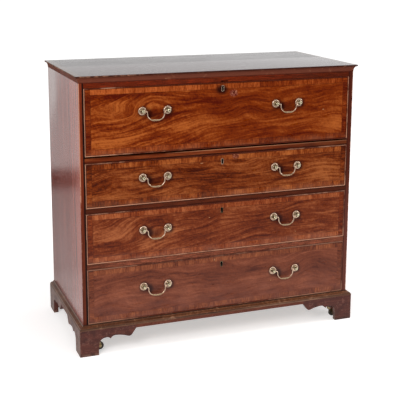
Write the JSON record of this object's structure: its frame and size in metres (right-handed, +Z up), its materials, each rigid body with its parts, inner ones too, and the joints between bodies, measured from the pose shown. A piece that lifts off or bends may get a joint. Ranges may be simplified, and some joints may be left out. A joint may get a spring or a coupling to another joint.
{
  "type": "secretaire chest",
  "caption": "Mahogany secretaire chest: a pull-out writing drawer with a let-down fall and pigeonholes over long cockbeaded drawers, on bracket feet with hidden castors.",
  "frame": {"origin": "middle of the chest's bounding box at floor level, under its feet", "axes": "+X along the width to the right as seen from the front, +Y towards the back, so the drawers open towards -Y, +Z up"},
  "size_m": [1.1552, 0.557, 1.067],
  "materials": {
    "mahogany": "old polished mahogany, satin gloss",
    "figured_mahogany": "figured mahogany veneer with crossbanding, french polished",
    "worn_moulding": "worn dark mahogany moulding with rubbed edges",
    "pine": "unpolished aged pine",
    "oak": "unpolished aged oak drawer linings",
    "brass": "aged brass, rubbed bright on the high spots",
    "castor_wheel": "dark hard leather tread"
  },
  "bodies": {
    "carcass": {"top_board": "mahogany", "left_side": "mahogany", "right_side": "mahogany", "bottom_board": "pine", "back_panel": "pine", "top_rail": "mahogany", "divider_1": "mahogany", "divider_2": "mahogany", "divider_3": "mahogany", "base_moulding": "worn_moulding", "foot_front_left": "mahogany", "foot_front_right": "mahogany", "foot_rear_left": "mahogany", "foot_rear_right": "mahogany"},
    "castor_front_left": {"castor_fork_front_left": "brass"},
    "wheel_front_left": {"castor_wheel_front_left": "castor_wheel"},
    "castor_front_right": {"castor_fork_front_right": "brass"},
    "wheel_front_right": {"castor_wheel_front_right": "castor_wheel"},
    "castor_rear_left": {"castor_fork_rear_left": "brass"},
    "wheel_rear_left": {"castor_wheel_rear_left": "castor_wheel"},
    "castor_rear_right": {"castor_fork_rear_right": "brass"},
    "wheel_rear_right": {"castor_wheel_rear_right": "castor_wheel"},
    "secretaire": {"secretaire_left_side": "oak", "secretaire_right_side": "oak", "secretaire_back": "oak", "secretaire_writing_board": "mahogany", "fall_hinge_left": "brass", "fall_hinge_centre": "brass", "fall_hinge_right": "brass", "pigeonhole_nest": "mahogany"},
    "fall": {"secretaire_fall": "figured_mahogany", "quadrant_left": "brass", "quadrant_right": "brass"},
    "secretaire_bail_left": {"secretaire_bail_left": "brass"},
    "secretaire_bail_right": {"secretaire_bail_right": "brass"},
    "small_drawer_1": {"small_drawer_1": "figured_mahogany"},
    "small_drawer_2": {"small_drawer_2": "figured_mahogany"},
    "small_drawer_3": {"small_drawer_3": "figured_mahogany"},
    "small_drawer_4": {"small_drawer_4": "figured_mahogany"},
    "drawer_2": {"drawer_2_front": "figured_mahogany", "drawer_2_left_side": "oak", "drawer_2_right_side": "oak", "drawer_2_back": "oak", "drawer_2_bottom": "oak"},
    "drawer_2_bail_left": {"drawer_2_bail_left": "brass"},
    "drawer_2_bail_right": {"drawer_2_bail_right": "brass"},
    "drawer_3": {"drawer_3_front": "figured_mahogany", "drawer_3_left_side": "oak", "drawer_3_right_side": "oak", "drawer_3_back": "oak", "drawer_3_bottom": "oak"},
    "drawer_3_bail_left": {"drawer_3_bail_left": "brass"},
    "drawer_3_bail_right": {"drawer_3_bail_right": "brass"},
    "drawer_4": {"drawer_4_front": "figured_mahogany", "drawer_4_left_side": "oak", "drawer_4_right_side": "oak", "drawer_4_back": "oak", "drawer_4_bottom": "oak"},
    "drawer_4_bail_left": {"drawer_4_bail_left": "brass"},
    "drawer_4_bail_right": {"drawer_4_bail_right": "brass"}
  },
  "joints": [
    {"name": "castor_swivel_front_left", "type": "hinge", "parent": "carcass", "child": "castor_front_left", "pos_m": [-0.5036, -0.22392, 0.06], "axis": [0, 0, 1], "continuous": true},
    {"name": "wheel_spin_front_left", "type": "hinge", "parent": "castor_front_left", "child": "wheel_front_left", "pos_m": [-0.4896, -0.22392, 0.0166], "axis": [0, 1, 0], "continuous": true},
    {"name": "castor_swivel_front_right", "type": "hinge", "parent": "carcass", "child": "castor_front_right", "pos_m": [0.5036, -0.22392, 0.06], "axis": [0, 0, 1], "continuous": true},
    {"name": "wheel_spin_front_right", "type": "hinge", "parent": "castor_front_right", "child": "wheel_front_right", "pos_m": [0.5176, -0.22392, 0.0166], "axis": [0, 1, 0], "continuous": true},
    {"name": "castor_swivel_rear_left", "type": "hinge", "parent": "carcass", "child": "castor_rear_left", "pos_m": [-0.5036, 0.22732, 0.06], "axis": [0, 0, 1], "continuous": true},
    {"name": "wheel_spin_rear_left", "type": "hinge", "parent": "castor_rear_left", "child": "wheel_rear_left", "pos_m": [-0.4896, 0.22732, 0.0166], "axis": [0, 1, 0], "continuous": true},
    {"name": "castor_swivel_rear_right", "type": "hinge", "parent": "carcass", "child": "castor_rear_right", "pos_m": [0.5036, 0.22732, 0.06], "axis": [0, 0, 1], "continuous": true},
    {"name": "wheel_spin_rear_right", "type": "hinge", "parent": "castor_rear_right", "child": "wheel_rear_right", "pos_m": [0.5176, 0.22732, 0.0166], "axis": [0, 1, 0], "continuous": true},
    {"name": "secretaire_slide", "type": "slide", "parent": "carcass", "child": "secretaire", "axis": [0, -1, 0], "range_m": [0, 0.3]},
    {"name": "fall_hinge", "type": "hinge", "parent": "secretaire", "child": "fall", "pos_m": [0, -0.2485, 0.777], "axis": [1, 0, 0], "range_deg": [0, 90]},
    {"name": "secretaire_bail_left_swing", "type": "hinge", "parent": "fall", "child": "secretaire_bail_left", "pos_m": [-0.2715, -0.2725, 0.92725], "axis": [-1, 0, 0], "range_deg": [-15, 100]},
    {"name": "secretaire_bail_right_swing", "type": "hinge", "parent": "fall", "child": "secretaire_bail_right", "pos_m": [0.2715, -0.2725, 0.92725], "axis": [-1, 0, 0], "range_deg": [-15, 100]},
    {"name": "small_drawer_1_slide", "type": "slide", "parent": "secretaire", "child": "small_drawer_1", "axis": [0, -1, 0], "range_m": [0, 0.15]},
    {"name": "small_drawer_2_slide", "type": "slide", "parent": "secretaire", "child": "small_drawer_2", "axis": [0, -1, 0], "range_m": [0, 0.15]},
    {"name": "small_drawer_3_slide", "type": "slide", "parent": "secretaire", "child": "small_drawer_3", "axis": [0, -1, 0], "range_m": [0, 0.15]},
    {"name": "small_drawer_4_slide", "type": "slide", "parent": "secretaire", "child": "small_drawer_4", "axis": [0, -1, 0], "range_m": [0, 0.15]},
    {"name": "drawer_2_slide", "type": "slide", "parent": "carcass", "child": "drawer_2", "axis": [0, -1, 0], "range_m": [0, 0.38]},
    {"name": "drawer_2_bail_left_swing", "type": "hinge", "parent": "drawer_2", "child": "drawer_2_bail_left", "pos_m": [-0.2715, -0.2725, 0.67425], "axis": [-1, 0, 0], "range_deg": [-15, 100]},
    {"name": "drawer_2_bail_right_swing", "type": "hinge", "parent": "drawer_2", "child": "drawer_2_bail_right", "pos_m": [0.2715, -0.2725, 0.67425], "axis": [-1, 0, 0], "range_deg": [-15, 100]},
    {"name": "drawer_3_slide", "type": "slide", "parent": "carcass", "child": "drawer_3", "axis": [0, -1, 0], "range_m": [0, 0.38]},
    {"name": "drawer_3_bail_left_swing", "type": "hinge", "parent": "drawer_3", "child": "drawer_3_bail_left", "pos_m": [-0.2715, -0.2725, 0.471], "axis": [-1, 0, 0], "range_deg": [-15, 100]},
    {"name": "drawer_3_bail_right_swing", "type": "hinge", "parent": "drawer_3", "child": "drawer_3_bail_right", "pos_m": [0.2715, -0.2725, 0.471], "axis": [-1, 0, 0], "range_deg": [-15, 100]},
    {"name": "drawer_4_slide", "type": "slide", "parent": "carcass", "child": "drawer_4", "axis": [0, -1, 0], "range_m": [0, 0.38]},
    {"name": "drawer_4_bail_left_swing", "type": "hinge", "parent": "drawer_4", "child": "drawer_4_bail_left", "pos_m": [-0.2715, -0.2725, 0.24575], "axis": [-1, 0, 0], "range_deg": [-15, 100]},
    {"name": "drawer_4_bail_right_swing", "type": "hinge", "parent": "drawer_4", "child": "drawer_4_bail_right", "pos_m": [0.2715, -0.2725, 0.24575], "axis": [-1, 0, 0], "range_deg": [-15, 100]}
  ]
}
